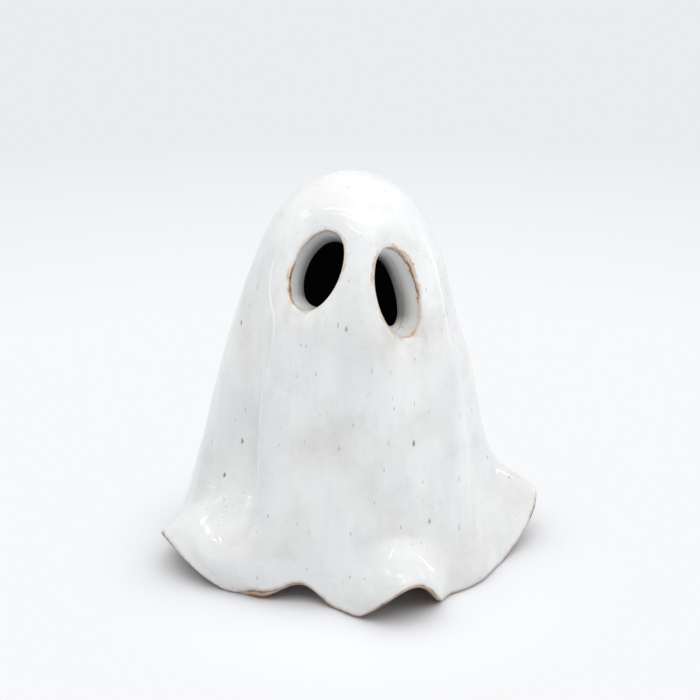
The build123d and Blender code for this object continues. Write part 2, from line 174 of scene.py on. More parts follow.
def clay(angle, t, swing):
    """Points of the wall's section: swing 0 is outside, 180 inside, and between them the lip."""
    r, z = outside(angle, t)
    down_r, down_z = down_the_wall(angle, t)
    half = wall(angle, t) / 2
    side = half * np.cos(np.radians(swing)) - half
    end = half * np.sin(np.radians(swing))
    r = r - down_z * side + down_r * end
    z = z + down_r * side + down_z * end
    turned = np.radians(angle)
    return np.stack([axis_x + r * np.sin(turned), axis_y - r * np.cos(turned), z], axis=-1)


print("hem radius", [round(float(outside(a, 1.0)[0]) / MM, 1) for a in (-75, 0, 24, 104, 180)], "mm")

# %% [markdown]
# ## The slab
# A potter rolls the clay flat first, so the mesh starts as a flat grid too. Its columns go round the
# axis, and its rows go down the outside, round the lip and up the inside again. Two blocks of cells
# on each side of the wall are kept for the eyes.

# %% Roll out the slab
AROUND = 300
DOWN = 140
LIP = 8
ROWS = DOWN + LIP + DOWN

bpy.ops.object.select_all(action="DESELECT")
bpy.ops.mesh.primitive_grid_add(x_subdivisions=AROUND, y_subdivisions=ROWS, size=1)
ghost = bpy.context.object
ghost.name = "ghost_skin"

flat = np.empty(len(ghost.data.vertices) * 3)
ghost.data.vertices.foreach_get("co", flat)
flat = flat.reshape(-1, 3)
column = np.rint((flat[:, 0] + 0.5) * AROUND)
row = np.rint((0.5 - flat[:, 1]) * ROWS)
from_crown = np.minimum(row, ROWS - row)
inner = row >= DOWN + LIP
outer = row <= DOWN

angle = 180.0 + 360.0 * column / AROUND
t = np.minimum(from_crown / DOWN, 1.0)
swing = np.clip((row - DOWN) / LIP, 0.0, 1.0) * 180.0
print("slab of", len(flat), "points")

# %% [markdown]
# ## The eyes
# Each eye is an egg-shaped hole, cut with a knife held nearly square to the wall, a little narrower
# inside than outside, and then wiped round with a wet finger. A Boolean cut would leave ragged cells
# around it, so the slab's own cells make way: the block of cells in the middle is deleted, and the rings
# of cells around it are drawn from a rectangle to the egg's outline. The ring next to the hole rolls
# over the edge.

# %% Sizes of the eyes
# angle, height, half length, half width, the lean of the top towards +X, how far the knife was turned
# outwards and dropped from square to the wall, in degrees, and how much shorter and narrower the cut
# gets on each side, as shares of its depth
EYES = {
    "left": (-24.4, 0.818, 0.0930, 0.0560, 16.0, -3.0, -4.0, 0.18, 0.10),
    "right": (32.4, 0.76, 0.1035, 0.0535, -6.0, 5.0, 2.0, 0.30, 0.32),
}
COLLAR = 10
RING_EASE = 1.5
RIM_ROLL = 1.2 * MM
DIMPLE_DEEP = 1.5 * MM
DIMPLE_WIDE = 4.2 * MM
EDGE_SLACK = 0.1 * MM
FRONT_OF_HEAD = -HEAD_R / 2
HALVINGS = 40
NEWTON_STEPS = 8


def eye_place(middle, height_share, turn, drop):
    """An eye's centre on the outside, its distance down the wall, and its own three directions."""
    low, high = 0.0, 1.0
    for _ in range(HALVINGS):
        down = (low + high) / 2
        if outside(middle, down)[1] > height_share * HEIGHT:
            low = down
        else:
            high = down
    down_r, down_z = down_the_wall(middle, down)
    turned = math.radians(middle + turn)
    rise = math.atan2(down_r, -down_z) - math.radians(drop)
    level = math.cos(rise)
    across = np.array([math.cos(turned), math.sin(turned), 0.0])
    outward = np.array([level * math.sin(turned), -level * math.cos(turned), math.sin(rise)])
    return clay(middle, down, 0.0), down, across, np.cross(outward, across), outward


def egg_distance(u, v, wide, long, lean):
    """Distance from an egg's outline, measured on its own plane and positive outside it."""
    turned = math.radians(lean)
    x = (u * math.cos(turned) - v * math.sin(turned)) / wide
    y = (u * math.sin(turned) + v * math.cos(turned)) / long
    q = np.maximum(np.hypot(x, y), 1e-6)
    return (q - 1) * q / np.hypot(x / wide, y / long)


print("eyes at", [eye[0] for eye in EYES.values()], "degrees")

# %% [markdown]
# ## Cells round the eyes
# Clay gives way round a finger, and the mesh does the same: the rings of cells round an eye ease from
# their rectangle to the egg. Where a point should go is known on the eye's own plane, and a few Newton
# steps find the angle and the distance down the wall that put it there. So the points stay on the
# formula's surface, outside and inside.

# %% Draw the cells round each eye
def draw_round(cells, wall_swing, place, egg, i, j, half_i, half_j):
    """Moves the rings of cells round one eye: a rectangle outside, the egg's outline at the hole."""
    centre, _, across, up, _ = place
    wide, long, lean = egg
    ring = np.maximum(np.abs(i) - half_i, np.abs(j) - half_j)
    at_side = np.abs(i) - half_i >= np.abs(j) - half_j
    start = np.where(at_side, np.where(i > 0, 0.0, 180.0), np.where(j > 0, 90.0, -90.0))
    along = np.where(at_side, np.sign(i) * j / (half_j + ring), -np.sign(j) * i / (half_i + ring))
    round_egg = np.radians(start + 45.0 * along)
    grow = 1 + (ring / COLLAR) ** RING_EASE
    x, y = wide * grow * np.cos(round_egg), long * grow * np.sin(round_egg)
    turned = math.radians(lean)
    egg_u = x * math.cos(turned) + y * math.sin(turned)
    egg_v = y * math.cos(turned) - x * math.sin(turned)
    a, d = angle[cells], t[cells]
    rest = clay(a, d, wall_swing) - centre
    near = 1 - ring / COLLAR
    near = near * near * (3 - 2 * near)
    want_u = (1 - near) * (rest @ across) + near * egg_u
    want_v = (1 - near) * (rest @ up) + near * egg_v
    step_a, step_d = 0.05, 0.0005
    for _ in range(NEWTON_STEPS):
        here = clay(a, d, wall_swing)
        by_a = (clay(a + step_a, d, wall_swing) - here) / step_a
        by_d = (clay(a, d + step_d, wall_swing) - here) / step_d
        miss_u, miss_v = want_u - (here - centre) @ across, want_v - (here - centre) @ up
        ua, ud, va, vd = by_a @ across, by_d @ across, by_a @ up, by_d @ up
        area = ua * vd - ud * va
        a = a + (miss_u * vd - miss_v * ud) / area
        d = d + (miss_v * ua - miss_u * va) / area
    angle[cells], t[cells] = a, d


hole = np.zeros(len(flat), np.int32)
places, eggs = [], []
for number, (name, eye) in enumerate(EYES.items(), 1):
    middle, height_share, long_share, wide_share, lean, turn, drop, shorten, narrow = eye
    place = eye_place(middle, height_share, turn, drop)
    egg = (wide_share * HEIGHT, long_share * HEIGHT, lean)
    places.append(place)
    eggs.append(egg)
    cell_wide = np.linalg.norm(clay(middle + 360 / AROUND, place[1], 0.0) - place[0])
    cell_long = np.linalg.norm(clay(middle, place[1] + 1 / DOWN, 0.0) - place[0])
    half_i, half_j = round(egg[0] / cell_wide), round(egg[1] / cell_long)
    i = column - round((middle + 180.0) / 360.0 * AROUND)
    j = round(place[1] * DOWN) - from_crown
    ring = np.maximum(np.abs(i) - half_i, np.abs(j) - half_j)
    for sheet, wall_swing, deep in ((outer, 0.0, 0.0), (inner, 180.0, wall(middle, place[1]))):
        cells = sheet & (ring >= 0) & (ring < COLLAR)
        inside_egg = (egg[0] - narrow * deep, egg[1] - shorten * deep, lean)
        draw_round(cells, wall_swing, place, inside_egg, i[cells], j[cells], half_i, half_j)
        hole[sheet & (ring <= 0)] = number if sheet is outer else -number
    print(name, "eye", round(2 * egg[0] / MM, 1), "x", round(2 * egg[1] / MM, 1), "mm in a block of",
          2 * half_i, "x", 2 * half_j, "cells")

# %% [markdown]
# ## Shape the clay
# Every point now gets its place from the formula. Round the eyes the outside is pressed in a little,
# as a finger does it, and the last half ring rolls over the edge in a quarter circle. The depth is
# taken along the eye's own direction, so the roll runs straight on into the cut.

# %% Place the points
points = clay(angle, t, swing)
for place, egg in zip(places, eggs):
    centre, _, across, up, outward = place
    local = points - centre
    off_edge = egg_distance(local @ across, local @ up, *egg)
    facing = outer & (local @ outward > FRONT_OF_HEAD) & (off_edge > -EDGE_SLACK)
    off_edge = np.maximum(off_edge, 0.0)
    roll = RIM_ROLL - np.sqrt(RIM_ROLL ** 2 - np.maximum(0.0, RIM_ROLL - off_edge) ** 2)
    dimple = DIMPLE_DEEP * np.exp(-(off_edge / DIMPLE_WIDE) ** 2)
    points -= np.where(facing, roll + dimple, 0.0)[:, None] * outward
ghost.data.vertices.foreach_set("co", points.ravel())
ghost.data.attributes.new("eye_edge", "INT", "POINT").data.foreach_set("value", hole)
ghost.data.update()
print("pressed in up to", round((DIMPLE_DEEP + RIM_ROLL) / MM, 1), "mm at the eyes")

# %% [markdown]
# ## The way over the lip
# The glaze ends part of the way round the lip, and the line where it ends has to follow the hem through
# all its waves. So every point keeps its way along the wall from the lip's outer edge, negative up the
# outside and positive inwards. Where wiping and handling wore the glaze back, the way starts earlier.
# A painted mask would do too, but a length stays sharp and is in real millimetres.

# %% Measure the way over the lip
# angle, half spread and how far the glaze wore back there; where negative, it reaches further
WORN = {
    "knee": (21.0, 20.0, 3.4 * MM),
    "left foot": (-43.0, 11.0, 2.4 * MM),
    "left tip": (-74.0, 24.0, -1.3 * MM),
}
wall_path = np.hypot(HEIGHT, HEAD_R)
lip_path = math.pi / 2 * HEM_WALL
path = np.where(inner, lip_path + (1 - t) * wall_path, -(1 - t) * wall_path)
path = np.where(outer | inner, path, swing / 180.0 * lip_path)
for middle, spread, worn in WORN.values():
    path = path + worn * bell(turn_between(angle, middle), spread, spread)
hem_path = ghost.data.attributes.new("hem_path", "FLOAT", "POINT")
hem_path.data.foreach_set("value", path.astype(np.float32))
print("lip is", round(lip_path / MM, 1), "mm round")

# %% [markdown]
# ## Close the pot
# The slab's two sides meet at the back, and its first and last rows each close to a point at the crown.
# A potter closes a seam with slip. Here points that lie together are merged, and the blocks of cells
# that were kept for the eyes are deleted.

# %% Close the seam and the crown, and cut the eyes out
MERGE_WITHIN = 0.002 * MM
bpy.context.tool_settings.mesh_select_mode = (False, False, True)
corners = np.empty(len(ghost.data.loops), int)
ghost.data.loops.foreach_get("vertex_index", corners)
in_hole = hole[corners].reshape(-1, 4)
cut_faces = (in_hole != 0).all(axis=1)
ghost.data.polygons.foreach_set("select", cut_faces)
bpy.ops.object.mode_set(mode="EDIT")
bpy.ops.mesh.delete(type="FACE")
bpy.ops.mesh.select_all(action="SELECT")
bpy.ops.mesh.remove_doubles(threshold=MERGE_WITHIN)
bpy.ops.object.mode_set(mode="OBJECT")
print(int(cut_faces.sum()), "cells cut out")

# %% [markdown]
# ## Through the wall
# The face of each cut joins the hole outside to the hole inside. The two edge loops have the same number
# of cells, so a bridge between them gives clean quads, in a few rows so that it takes the finish well.

# %% Join the eye's edges through the wall
JAMB_CUTS = 6
bpy.context.tool_settings.mesh_select_mode = (False, True, False)


def open_edges():
    """Which edges have a face on one side only, their end points and their eye's number."""
    mesh = ghost.data
    used = np.empty(len(mesh.loops), int)
    mesh.loops.foreach_get("edge_index", used)
    ends = np.empty(len(mesh.edges) * 2, int)
    mesh.edges.foreach_get("vertices", ends)
    at = np.empty(len(mesh.vertices) * 3)
    mesh.vertices.foreach_get("co", at)
    at = at.reshape(-1, 3)
    ends = ends.reshape(-1, 2)
    label = np.empty(len(mesh.vertices), np.int32)
    mesh.attributes["eye_edge"].data.foreach_get("value", label)
    return np.bincount(used, minlength=len(ends)) == 1, at[ends], label[ends[:, 0]]


rims = []
for number in range(1, len(EYES) + 1):
    is_open, ends, label = open_edges()
    chosen = is_open & (np.abs(label) == number)
    rims.append(ends[is_open & (label == number)])
    bpy.ops.object.mode_set(mode="EDIT")
    bpy.ops.mesh.select_all(action="DESELECT")
    bpy.ops.object.mode_set(mode="OBJECT")
    ghost.data.edges.foreach_set("select", chosen)
    bpy.ops.object.mode_set(mode="EDIT")
    bpy.ops.mesh.bridge_edge_loops(number_cuts=JAMB_CUTS)
    bpy.ops.object.mode_set(mode="OBJECT")
    print("eye", number, "joined:", len(rims[-1]), "and", int(chosen.sum()) - len(rims[-1]), "edges")
print("open edges left:", int(open_edges()[0].sum()))

# %% [markdown]
# ## Marks of the hand
# A pot smoothed by hand is never quite even, and a gloss glaze shows it: the lamps' lines bend in it.
# A Displace modifier with a slow cloud texture gives that. Its middle level is 1, so it only presses
# the clay in, and the ghost stays inside its CAD box. Last, the feet are ground flat on the table,
# which is one cut with a plane.

# %% Press in the hand's marks and grind the feet
HAND_MARK_WIDE = 17.0 * MM
HAND_MARK_DEEP = 0.55 * MM
GRIND_WITHIN = 0.001 * MM
SMOOTH_UNDER = math.radians(45)
marks = bpy.data.textures.new("hand_marks", "CLOUDS")
marks.noise_scale = HAND_MARK_WIDE
marks.noise_depth = 1
press = ghost.modifiers.new("hand_marks", "DISPLACE")
press.texture = marks
press.strength = HAND_MARK_DEEP
press.mid_level = 1.0
bpy.ops.object.modifier_apply(modifier=press.name)

bpy.ops.object.mode_set(mode="EDIT")
bpy.ops.mesh.select_all(action="SELECT")
bpy.ops.mesh.normals_make_consistent(inside=False)
bpy.ops.mesh.bisect(plane_co=(0, 0, 0), plane_no=(0, 0, 1), use_fill=True, clear_inner=True,
                    threshold=GRIND_WITHIN)
bpy.ops.object.mode_set(mode="OBJECT")
bpy.ops.object.shade_smooth_by_angle(angle=SMOOTH_UNDER)
print("ghost:", sum(len(p.vertices) - 2 for p in ghost.data.polygons), "triangles, open edges",
      int(open_edges()[0].sum()))

# %% [markdown]
# ## Where the glaze thins, and the painted shade in the eyes
# Glaze runs off sharp edges while it melts, so the brown clay shows along the eye rims and the lip.
# The potter wipes the underside, or the pot would stick to the kiln shelf, and leaves the inside bare.
# Inside the eyes the cut is painted darker with its depth, down to a dark clay colour: painted shade in
# the hole, which the lamps hardly reach. Only the lower part of the cut, which faces up, stays white. The
# finish needs to know these places, so four measures are kept on the points: the distance from the eye's
# edge, negative in the cut, how much painted shade darkens the cut there, the distance past the edge of
# the glaze, and how much of a stain runs down below an eye.

# %% Measure the distance from the eye rims
FAR = 50.0 * MM
EYE_REACH = 30.0 * MM
at = np.empty(len(ghost.data.vertices) * 3)
ghost.data.vertices.foreach_get("co", at)
at = at.reshape(-1, 3)
eye_rim = np.full(len(at), FAR)
for place, rim in zip(places, rims):
    centre, outward = place[0], place[4]
    near = np.flatnonzero(np.linalg.norm(at - centre, axis=1) < EYE_REACH)
    start, run = rim[:, 0], rim[:, 1] - rim[:, 0]
    gap = at[near][:, None, :] - start
    share = np.clip((gap * run).sum(-1) / (run * run).sum(-1), 0, 1)
    gap = gap - share[..., None] * run
    length = np.linalg.norm(gap, axis=-1)
    best = length.argmin(axis=1)
    gap, length = gap[np.arange(len(near)), best], length.min(axis=1)
    away = at[near] - centre
    away -= (away @ outward)[:, None] * outward
    away /= np.linalg.norm(away, axis=1, keepdims=True)
    side = np.where((gap * away).sum(-1) + gap @ outward >= 0, 1, -1)
    closer = length < np.abs(eye_rim[near])
    eye_rim[near[closer]] = (side * length)[closer]
print("deepest point of the cuts", round(float(-eye_rim.min()) / MM, 1), "mm from a rim")

# %% Measure bare clay, the painted shade in the eye cuts, and stains
LIP_COVER = 0.36
CUT_SHADE_FROM, CUT_SHADE_TO = 1.6 * MM, 7.5 * MM
JAMB_BAND = 4.0 * MM
FLOOR_FROM = 0.6
STAIN_FROM = 0.3
STAIN_RUN = 6.5 * MM


def below_middle(v, half_length, start):
    """How far below an eye's middle a point is: 0 down to the start, 1 at the eye's lowest point."""
    return np.clip((-v / half_length - start) / (1 - start), 0.0, 1.0)


path = np.empty(len(at), np.float32)
ghost.data.attributes["hem_path"].data.foreach_get("value", path)
bare = path - LIP_COVER * lip_path
stain, cut_shade = np.zeros(len(at)), np.zeros(len(at))
for place, egg in zip(places, eggs):
    centre, _, across, up, outward = place
    u, v, w = (at - centre) @ across, (at - centre) @ up, (at - centre) @ outward
    off = egg_distance(u, v, *egg)
    bare = np.where((eye_rim < 0) & (off < EDGE_SLACK), eye_rim, bare)
    runs = below_middle(v, egg[1], STAIN_FROM) * np.exp(-(np.maximum(off, 0.0) / STAIN_RUN) ** 2)
    stain += np.where(w > FRONT_OF_HEAD, runs, 0.0)
    # Painted shade in each eye cut: it darkens with depth into the cut, except towards its lower part,
    # which faces up to the light
    depth = np.clip((-eye_rim - CUT_SHADE_FROM) / (CUT_SHADE_TO - CUT_SHADE_FROM), 0.0, 1.0)
    cut_shade += np.where(np.abs(off) < JAMB_BAND, depth * (1 - below_middle(v, egg[1], FLOOR_FROM)), 0.0)
MEASURES = {"eye_rim": eye_rim, "eye_cut_shade": cut_shade, "bare_clay": bare, "eye_stain": stain}
for name, values in MEASURES.items():
    measured = ghost.data.attributes.new(name, "FLOAT", "POINT")
    measured.data.foreach_set("value", values.astype(np.float32))
print("glazed share of the points:", round(float((bare < 0).mean()), 2))

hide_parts("ghost_shell")
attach(ghost, "ghost")

# %% [markdown]
# ## Finishes
# Every finish is made from nodes. One small helper turns a colour as it is written on a screen to the
# linear values that light needs, one adds a node, and the others stand for the few kinds of node that
# come back in every finish. Pictures wrapped round the pieces would do too, but nodes stay sharp at any
# distance and take their sizes in real millimetres.

# %% Helpers for the finishes
# A colour mix has its inputs and output at these places
MIX_A, MIX_B, MIX_OUT = 6, 7, 2


def linear(colour):
    """An sRGB hex colour as linear red, green, blue and alpha."""
    parts = [int(colour[k:k + 2], 16) / 255 for k in (1, 3, 5)]
    return (*[p / 12.92 if p <= 0.04045 else ((p + 0.055) / 1.055) ** 2.4 for p in parts], 1.0)


def feed(tree, node, inputs):
    """Sets each named input of a node, or links it to the output that is given for it."""
    for socket, value in inputs.items():
        if isinstance(value, bpy.types.NodeSocket):
            tree.links.new(value, node.inputs[socket])
        else:
            node.inputs[socket].default_value = value


def add(tree, kind, inputs=None, **settings):
    """Adds a node with its settings, and sets or links each of its inputs."""
    node = tree.nodes.new(kind)
    for name, value in settings.items():
        setattr(node, name, value)
    feed(tree, node, inputs or {})
    return node


def new_finish(name):
    """An empty material, with its node tree, its surface shader and the object's coordinates."""
    finish = bpy.data.materials.new(name)
    finish.use_nodes = True
    tree = finish.node_tree
    return finish, tree, tree.nodes["Principled BSDF"], add(tree, "ShaderNodeTexCoord").outputs["Object"]


def size(mm):
    """The texture scale at which one pattern cell is so many millimetres wide."""
    return 1 / (mm * MM)


# %% Helpers for the patterns
def noise(tree, where, mm, detail, roughness=0.5):
    """A cloudy pattern between 0 and 1."""
    clouds = {"Vector": where, "Scale": size(mm), "Detail": detail, "Roughness": roughness}
    return add(tree, "ShaderNodeTexNoise", clouds).outputs["Fac"]


def drawn_out(tree, where, scale, shift=(0, 0, 0)):
    """Coordinates in which a pattern gets longer along each axis whose scale is below 1."""
    moved = {"Vector": where, "Scale": scale, "Location": shift}
    return add(tree, "ShaderNodeMapping", moved).outputs["Vector"]


def ramp(tree, value, low, high, to_low=0.0, to_high=1.0, ease="LINEAR"):
    """A value taken from one range to another, and held at its ends."""
    ends = {"Value": value, "From Min": low, "From Max": high, "To Min": to_low, "To Max": to_high}
    return add(tree, "ShaderNodeMapRange", ends, interpolation_type=ease).outputs["Result"]


def blend(tree, share, first, second):
    """A mix of two colours, each a hex colour or another node's output."""
    first, second = [linear(c) if isinstance(c, str) else c for c in (first, second)]
    pair = {"Factor": share, MIX_A: first, MIX_B: second}
    return add(tree, "ShaderNodeMix", pair, data_type="RGBA").outputs[MIX_OUT]


def reckon(tree, operation, *values, clamp=False):
    """One step of arithmetic."""
    step = add(tree, "ShaderNodeMath", dict(enumerate(values)), operation=operation, use_clamp=clamp)
    return step.outputs["Value"]


def bumps(tree, height, strength, deep):
    """A surface that leans as if a pattern stood out of it."""
    relief = {"Height": height, "Strength": strength, "Distance": deep}
    return add(tree, "ShaderNodeBump", relief).outputs["Normal"]


def measure(tree, name):
    """One of the measures that are kept on the ghost's points."""
    return add(tree, "ShaderNodeAttribute", attribute_name=name).outputs["Fac"]


print("ivory in linear light:", [round(c, 3) for c in linear("#eee6d2")[:3]])

# %% [markdown]
# ## White gloss glaze on speckled stoneware
# The white is a tin or zircon glaze over buff clay. It is uneven: thicker glaze is cooler, thinner glaze
# lets the clay warm or grey it, and where it was brushed on and ran it has fine streaks from top to
# bottom. Under the eyes, iron that washed out of the rims leaves a thin grey-brown stain. One layer is
# mixed over the other, slow clouds first.

# %% Glaze: the white and its clouds
STAIN_STRENGTH = 0.45
glaze, tree, shader, coords = new_finish("white_gloss_glaze_on_speckled_stoneware")
hanging = drawn_out(tree, coords, scale=(1, 1, 0.35))
running = drawn_out(tree, coords, scale=(1, 1, 0.1))

cool = ramp(tree, noise(tree, hanging, mm=16, detail=3), 0.45, 0.72)
colour = blend(tree, cool, "#ebecea", "#dedfdf")
warm = ramp(tree, noise(tree, coords, mm=24, detail=2), 0.5, 0.75)
colour = blend(tree, warm, colour, "#dfdeda")
grey = ramp(tree, noise(tree, coords, mm=13, detail=6, roughness=0.68), 0.5, 0.8, to_high=0.34)
colour = blend(tree, grey, colour, "#b9b5b3")
streaks = ramp(tree, noise(tree, running, mm=2.2, detail=3, roughness=0.6), 0.5, 0.8, to_high=0.22)
colour = blend(tree, streaks, colour, "#cfd0d1")
mottle = ramp(tree, noise(tree, hanging, mm=5, detail=4, roughness=0.6), 0.35, 0.7)
stained = reckon(tree, "MULTIPLY", measure(tree, "eye_stain"), mottle)
colour = blend(tree, reckon(tree, "MULTIPLY", stained, STAIN_STRENGTH), colour, "#a39a8f")
print("the white takes", len(tree.nodes), "nodes")

# %% [markdown]
# ## Iron specks
# The clay holds grains of iron. In the kiln they melt up through the glaze as brown specks, drawn out
# downwards where it ran. They could be scattered one by one, but a cell pattern does it in a few nodes:
# each cell holds one speck or none, and its own random colour says which, and how dark.

# %% Glaze: iron specks
# cell and speck width in mm, how far specks are drawn out, the share of cells that hold one, colour and
# strength
SPECKS = (
    (1.5, 0.32, 1.5, 0.60, "#8f857b", 0.38),
    (2.8, 0.50, 2.4, 0.75, "#7d6f64", 0.50),
    (3.0, 0.45, 5.5, 0.80, "#857a70", 0.60),
    (6.0, 0.85, 2.1, 0.45, "#38271b", 1.00),
)
# how ragged a speck is, and where its edge starts and ends, as shares of its width
RAGGED, SPECK_RIM, SPECK_CORE = 0.45, 0.85, 0.50
FAINTEST = 0.35
LAYER_SHIFT = (13.0 * MM, 7.0 * MM)
for number, (cell, wide, long, share, brown, strength) in enumerate(SPECKS):
    shift = (LAYER_SHIFT[0] * number, LAYER_SHIFT[1], 0.0)
    where = drawn_out(tree, coords, (1, 1, 1 / long), shift)
    cells = add(tree, "ShaderNodeTexVoronoi", {"Vector": where, "Scale": size(cell)}).outputs
    frayed = noise(tree, where, mm=0.8, detail=1)
    near = reckon(tree, "MULTIPLY_ADD", frayed, RAGGED * wide / cell, cells["Distance"])
    spot = ramp(tree, near, SPECK_RIM * wide / cell, SPECK_CORE * wide / cell)
    pick = add(tree, "ShaderNodeSeparateColor", {"Color": cells["Color"]}).outputs
    spot = reckon(tree, "MULTIPLY", spot, reckon(tree, "LESS_THAN", pick["Red"], share))
    dark = ramp(tree, pick["Green"], 0.0, 1.0, FAINTEST * strength, strength)
    colour = blend(tree, reckon(tree, "MULTIPLY", spot, dark), colour, brown)
    print("specks", wide, "mm wide in", round(100 * share), "% of the cells")

# %% [markdown]
# ## Where the glaze breaks
# Over an edge the melted glaze is so thin that the iron in the clay stains it, cream first and then
# ochre and dark brown. Each line is a band of distance from the edge. Two noises let it wander and fray,
# and a third makes it strong in some places and lets it vanish in others, as a real break does.

# %% Glaze: where it breaks over the edges
FRAY = 0.7
wander = reckon(tree, "SUBTRACT", noise(tree, coords, mm=5, detail=3), 0.5)
wander = reckon(tree, "MULTIPLY_ADD", noise(tree, coords, mm=1.3, detail=3), FRAY, wander)
wander = reckon(tree, "SUBTRACT", wander, FRAY / 2)
patches = noise(tree, coords, mm=7, detail=2)
# measure, place of the line, its half width, how far it wanders (mm), its colour, and its strength
# where the glaze is thickest and thinnest
BREAKS = (
    ("eye_rim", 0.4, 1.5, 1.6, "#d9c8b3", 0.10, 0.55),
    ("eye_rim", 1.2, 0.45, 1.9, "#bf9868", -0.70, 0.80),
    ("eye_rim", 0.3, 0.75, 1.8, "#b58550", 0.30, 1.00),
    ("eye_rim", 0.1, 0.35, 2.0, "#6b4222", 0.00, 0.90),
    ("hem_path", 0.4, 1.5, 1.6, "#b99f88", 0.30, 0.65),
    ("hem_path", 2.1, 1.3, 0.8, "#b08250", 0.80, 1.00),
    ("hem_path", 0.9, 0.9, 1.4, "#6b4429", 0.45, 1.00),
)
for name, line_at, half, astray, brown, thickest, thinnest in BREAKS:
    edge = reckon(tree, "MULTIPLY_ADD", wander, astray * MM, measure(tree, name))
    off = reckon(tree, "ABSOLUTE", reckon(tree, "SUBTRACT", edge, line_at * MM))
    line = ramp(tree, off, half * MM, 0.0, ease="SMOOTHSTEP")
    patch = ramp(tree, patches, 0.35, 0.6, thickest, thinnest)
    colour = blend(tree, reckon(tree, "MULTIPLY", line, patch, clamp=True), colour, brown)
print(len(BREAKS), "lines where the glaze breaks")

# %% [markdown]
# ## Bare clay, and painted shade inside
# Past the edge of the glaze the clay is bare, orange at the lip and gritty from the grog in it. Further
# in, its colour is painted brown and then nearly black: painted shade for the closed inside of the pot, so
# that the inside reads dark through the eyes. Slow waves in the glaze bend the lamps' lines. Glaze and
# clay share one shader, because they are one fired body, and a mask changes colour, shine and relief
# together.

# %% Glaze: painted shade in the eye cuts, and the bare clay with painted shade inside
EDGE_WANDER = 1.6 * MM
EDGE_HALF = 0.15 * MM
INNER_SHADE_FROM, INNER_SHADE_TO = 2.0 * MM, 30.0 * MM
DEEP_SHADE_FROM, DEEP_SHADE_TO = 26.0 * MM, 60.0 * MM
GLOSS, MATT = 0.07, 0.85
# Painted shade: the eye cuts are darkened towards a dark clay colour with their depth
cut_shading = ramp(tree, measure(tree, "eye_cut_shade"), 0.0, 1.0, ease="SMOOTHSTEP")
colour = blend(tree, cut_shading, colour, "#1c140f")

past = reckon(tree, "MULTIPLY_ADD", wander, EDGE_WANDER, measure(tree, "bare_clay"))
is_bare = ramp(tree, past, -EDGE_HALF, EDGE_HALF)
grog = noise(tree, coords, mm=1.2, detail=4)
# Painted shade: the bare clay goes from orange at the lip to brown and then nearly black deeper inside the
# pot, where only shade falls
clay_and_shade = blend(tree, ramp(tree, past, INNER_SHADE_FROM, INNER_SHADE_TO), "#b58253", "#5e402c")
clay_and_shade = blend(tree, ramp(tree, past, DEEP_SHADE_FROM, DEEP_SHADE_TO), clay_and_shade, "#0b0807")
clay_and_shade = blend(tree, ramp(tree, grog, 0.0, 1.0, to_high=0.7), clay_and_shade, "#0f0b09")

waves = noise(tree, coords, mm=7, detail=2)
relief = add(tree, "ShaderNodeMix", {"Factor": is_bare, "A": waves, "B": grog}).outputs["Result"]
feed(tree, shader, {
    "Base Color": blend(tree, is_bare, colour, clay_and_shade),
    "Roughness": ramp(tree, is_bare, 0.0, 1.0, GLOSS, MATT),
    "Normal": bumps(tree, relief, strength=0.25, deep=0.2 * MM),
    "IOR": 1.5,
})
ghost.data.materials.clear()
ghost.data.materials.append(glaze)
print("glaze has", len(tree.nodes), "nodes")

# %% [markdown]
# ## Moulded plastics of the candle
# The cup, its base and the battery door are ivory ABS from a mould with a fine spark-eroded skin, which
# breaks up the shine. The flame is milky polypropylene, amber at its foot and paler at the tip, and it
# lets light through. The knob is black ABS, and the lamp's lens is cast epoxy. Their shapes come from
# the CAD nodes, so only a finish is made for each.

# %% Ivory ABS
# Injection-moulded, with the pits of a spark-eroded mould
ivory, tree, shader, coords = new_finish("moulded_ivory_abs")
pits = noise(tree, coords, mm=0.35, detail=2)
feed(tree, shader, {
    "Base Color": blend(tree, noise(tree, coords, mm=8, detail=2), "#eee6d2", "#e3d9c2"),
    "Roughness": ramp(tree, pits, 0.0, 1.0, 0.38, 0.55),
    "Normal": bumps(tree, pits, strength=0.3, deep=0.02 * MM),
    "IOR": 1.53,
})
print(ivory.name, "has", len(tree.nodes), "nodes")

# %% Milky polypropylene flame
# A soft moulding, tinted amber from the foot up, with the swirl of the melt in it
SWIRL = 5 * MM
flame_low, flame_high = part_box("flame_tip")
milky, tree, shader, coords = new_finish("milky_polypropylene_flame")
height = add(tree, "ShaderNodeSeparateXYZ", {"Vector": coords}).outputs["Z"]
swirl = noise(tree, coords, mm=4, detail=2)
level = ramp(tree, reckon(tree, "MULTIPLY_ADD", swirl, SWIRL, height), flame_low.z, flame_high.z)
feed(tree, shader, {
    "Base Color": blend(tree, level, "#eeb14f", "#f7e6bb"),
    "Roughness": ramp(tree, swirl, 0.0, 1.0, 0.28, 0.45),
    "IOR": 1.49,
    "Transmission Weight": 0.35,
})
print(milky.name, "has", len(tree.nodes), "nodes")

# %% Black ABS knob
# The same plastic as the cup, coloured black in the melt
black, tree, shader, coords = new_finish("moulded_black_abs")
pits = noise(tree, coords, mm=0.3, detail=2)
feed(tree, shader, {
    "Base Color": blend(tree, pits, "#1b1b1c", "#262627"),
    "Roughness": ramp(tree, pits, 0.0, 1.0, 0.35, 0.55),
    "IOR": 1.53,
})
print(black.name, "has", len(tree.nodes), "nodes")

# %% Cast epoxy lamp lens
# Clear resin with an amber dye, cast round the lamp's chip
epoxy, tree, shader, coords = new_finish("cast_amber_epoxy")
cure = noise(tree, coords, mm=2, detail=1)
feed(tree, shader, {
    "Base Color": blend(tree, cure, "#f6cf7a", "#f0bd58"),
    "Roughness": ramp(tree, cure, 0.0, 1.0, 0.04, 0.12),
    "IOR": 1.54,
    "Transmission Weight": 0.85,
})
print(epoxy.name, "has", len(tree.nodes), "nodes")

